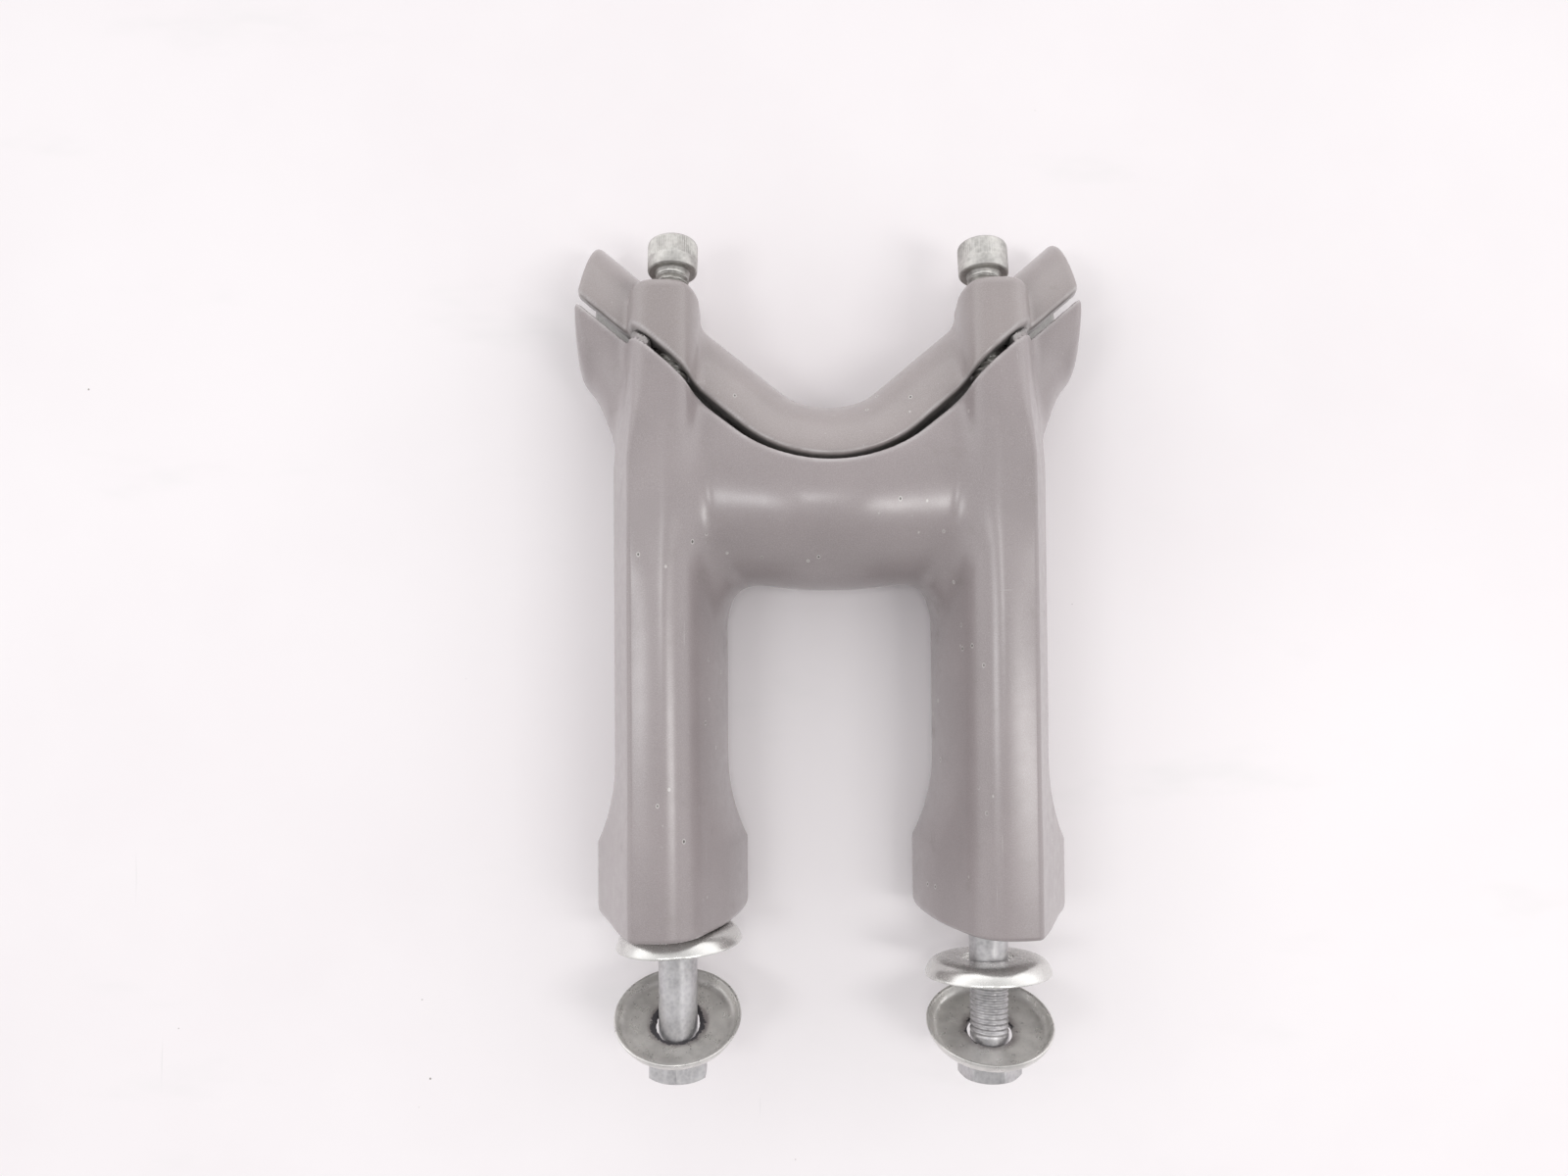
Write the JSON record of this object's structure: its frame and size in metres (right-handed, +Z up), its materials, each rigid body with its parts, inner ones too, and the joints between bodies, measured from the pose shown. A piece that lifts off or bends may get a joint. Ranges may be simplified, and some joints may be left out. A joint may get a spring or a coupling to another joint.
{
  "type": "handlebar riser with top clamp",
  "caption": "Cast motorcycle handlebar riser with long flared legs, a V-shaped bar saddle, a bolted top clamp, hex head bolts and loose cup washers.",
  "frame": {"origin": "middle of the lower face of the bounding box, on the surface the riser lies on", "axes": "+Y from the feet to the bar clamp, +Z up from the surface to the riser's front, +X to the right"},
  "size_m": [0.1456, 0.2404, 0.0512],
  "materials": {
    "casting_paint": "satin silver grey paint under clear coat",
    "clamp_paint": "satin silver grey paint under clear coat",
    "screw_zinc": "zinc plated, knurled head",
    "bolt_zinc": "zinc plated, dulled",
    "washer_zinc": "zinc plated, bright"
  },
  "bodies": {
    "riser_body": {"riser_body": "casting_paint"},
    "top_clamp": {"top_clamp": "clamp_paint"},
    "clamp_screw_left": {"clamp_screw_left": "screw_zinc"},
    "clamp_screw_right": {"clamp_screw_right": "screw_zinc"},
    "riser_bolt_left": {"riser_bolt_left": "bolt_zinc"},
    "riser_bolt_right": {"riser_bolt_right": "bolt_zinc"},
    "upper_cup_washer_left": {"upper_cup_washer_left": "washer_zinc"},
    "upper_cup_washer_right": {"upper_cup_washer_right": "washer_zinc"},
    "lower_cup_washer_left": {"lower_cup_washer_left": "washer_zinc"},
    "lower_cup_washer_right": {"lower_cup_washer_right": "washer_zinc"}
  },
  "joints": [
    {"name": "clamp_lift", "type": "slide", "parent": "riser_body", "child": "top_clamp", "axis": [0, 0.9681, -0.2504], "range_m": [0, 0.045]},
    {"name": "clamp_screw_left_travel", "type": "slide", "parent": "top_clamp", "child": "clamp_screw_left", "axis": [0, 0.9681, -0.2504], "range_m": [-0.0058, 0.025]},
    {"name": "clamp_screw_right_travel", "type": "slide", "parent": "top_clamp", "child": "clamp_screw_right", "axis": [0, 0.9681, -0.2504], "range_m": [-0.0043, 0.025]},
    {"name": "riser_bolt_left_travel", "type": "slide", "parent": "riser_body", "child": "riser_bolt_left", "axis": [0, -1, 0], "range_m": [0, 0.05]},
    {"name": "riser_bolt_right_travel", "type": "slide", "parent": "riser_body", "child": "riser_bolt_right", "axis": [0, -1, 0], "range_m": [0, 0.05]},
    {"name": "upper_cup_washer_left_slide", "type": "slide", "parent": "riser_bolt_left", "child": "upper_cup_washer_left", "axis": [0, -1, 0], "range_m": [0, 0.006]},
    {"name": "lower_cup_washer_left_slide", "type": "slide", "parent": "riser_bolt_left", "child": "lower_cup_washer_left", "axis": [0, 1, 0], "range_m": [0, 0.004]},
    {"name": "upper_cup_washer_right_slide", "type": "slide", "parent": "riser_bolt_right", "child": "upper_cup_washer_right", "axis": [0, -1, 0], "range_m": [-0.0085, 0.0025]},
    {"name": "lower_cup_washer_right_slide", "type": "slide", "parent": "riser_bolt_right", "child": "lower_cup_washer_right", "axis": [0, 1, 0], "range_m": [0, 0.0022]}
  ]
}
